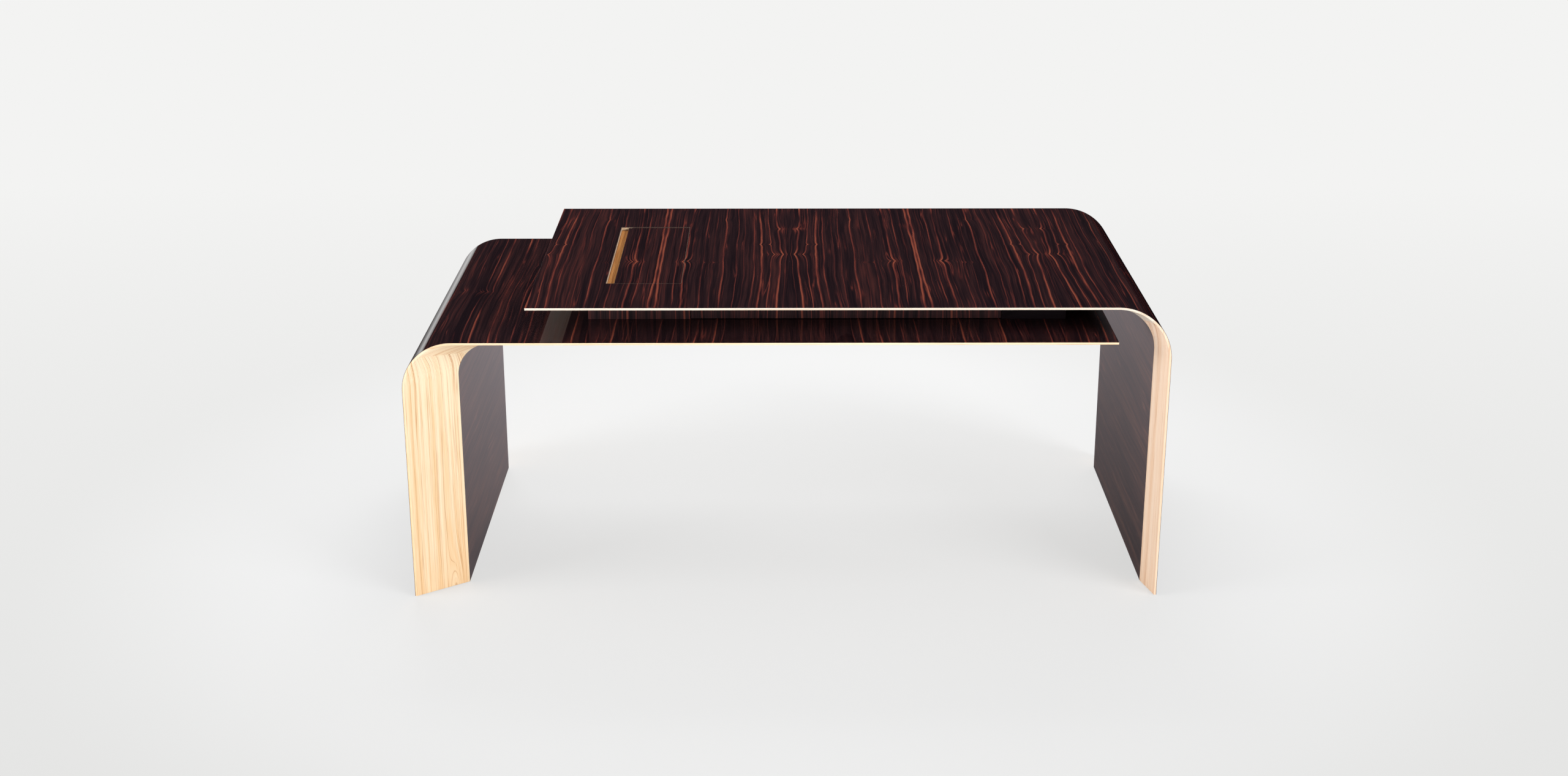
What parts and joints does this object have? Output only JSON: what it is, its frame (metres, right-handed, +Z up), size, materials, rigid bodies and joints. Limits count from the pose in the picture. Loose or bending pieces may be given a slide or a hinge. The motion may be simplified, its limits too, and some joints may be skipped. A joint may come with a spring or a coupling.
{
  "type": "tambour desk",
  "caption": "Writing desk of two interlocking bent veneered shells with bevelled pale edges, a sliding tambour over a tray and a shallow drawer between its tops.",
  "frame": {"origin": "on the floor, below the middle of the desk's box", "axes": "+X along the desk towards the thin leg, +Y from front to back, +Z up"},
  "size_m": [1.8, 0.9, 0.735],
  "materials": {
    "ebony_gloss": "high-gloss lacquered striped ebony veneer",
    "ebony_satin": "satin lacquered striped ebony veneer",
    "stained_board": "dark stained board, satin",
    "pale_ash": "solid pale ash, satin lacquer",
    "caramel_wood": "oiled solid wood",
    "beech": "waxed beech",
    "plywood": "raw plywood",
    "canvas": "woven canvas",
    "tray_felt": "dark felt lining",
    "felt": "pressed felt"
  },
  "bodies": {
    "desk": {"back_track": "pale_ash", "box_back": "stained_board", "box_front_left": "stained_board", "box_front_right": "stained_board", "box_left_divider": "stained_board", "box_left_end": "stained_board", "box_right_divider": "stained_board", "box_right_end": "stained_board", "drawer_left_runner": "beech", "drawer_right_runner": "beech", "front_track": "pale_ash", "left_glides": "felt", "lower_back_lipping": "pale_ash", "lower_end_lipping": "pale_ash", "lower_front_lipping": "pale_ash", "lower_inner_ply": "plywood", "lower_inner_skin": "ebony_satin", "lower_leg_base": "plywood", "lower_leg_rib_1": "plywood", "lower_leg_rib_2": "plywood", "lower_leg_rib_3": "plywood", "lower_leg_rib_4": "plywood", "lower_outer_ply": "plywood", "lower_outer_skin": "ebony_gloss", "lower_top_core": "plywood", "opening_end_rail": "pale_ash", "opening_lipping": "pale_ash", "pocket_end_rail": "beech", "pocket_floor": "plywood", "right_glides": "felt", "tray_floor": "tray_felt", "upper_back_lipping": "pale_ash", "upper_bend_core": "plywood", "upper_end_lipping": "pale_ash", "upper_front_lipping": "pale_ash", "upper_inner_skin": "ebony_satin", "upper_outer_skin": "ebony_gloss", "upper_top_core": "plywood"},
    "tambour": {"tambour_canvas": "canvas", "tambour_lead_rail": "caramel_wood", "tambour_slat_1": "ebony_gloss", "tambour_slat_2": "ebony_gloss", "tambour_slat_3": "ebony_gloss", "tambour_slat_4": "ebony_gloss", "tambour_slat_5": "ebony_gloss", "tambour_slat_6": "ebony_gloss", "tambour_slat_7": "ebony_gloss", "tambour_slat_8": "ebony_gloss", "tambour_slat_9": "ebony_gloss"},
    "drawer": {"drawer_back": "beech", "drawer_bottom": "beech", "drawer_front": "ebony_satin", "drawer_left_side": "beech", "drawer_right_side": "beech"}
  },
  "joints": [
    {"name": "tambour_slide", "type": "slide", "parent": "desk", "child": "tambour", "axis": [1, 0, 0], "range_m": [0, 0.16]},
    {"name": "drawer_slide", "type": "slide", "parent": "desk", "child": "drawer", "axis": [0, -1, 0], "range_m": [0, 0.33]}
  ]
}
